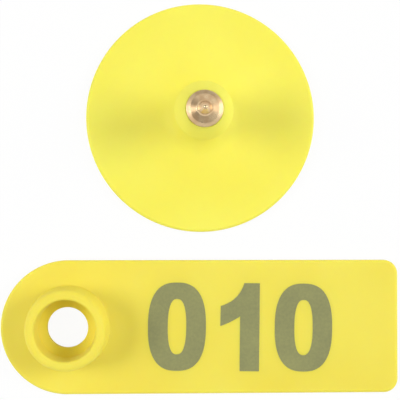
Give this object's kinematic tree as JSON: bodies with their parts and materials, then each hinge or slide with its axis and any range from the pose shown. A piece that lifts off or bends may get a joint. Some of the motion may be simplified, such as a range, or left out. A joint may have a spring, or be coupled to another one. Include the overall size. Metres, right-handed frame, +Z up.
{
  "type": "livestock ear tag",
  "caption": "Two-piece yellow livestock ear tag, laid open: round button with a hollow barbed stud and a metal point, and a tongue-shaped number flag with a socketed boss.",
  "frame": {"origin": "under the middle of the laid-out pair, on the surface that both halves lie on", "axes": "+Z up from that surface, +X along the flag from its round end to its square end, +Y from the flag to the button"},
  "size_m": [0.052, 0.0511, 0.0149],
  "materials": {
    "yellow_polyurethane": "moulded, slightly translucent",
    "turned_brass": "turned",
    "laser_mark": "laser-darkened, in the polyurethane's surface"
  },
  "bodies": {
    "root": {"stud_button": "yellow_polyurethane", "number_flag": "yellow_polyurethane", "metal_point": "turned_brass"}
  },
  "joints": []
}
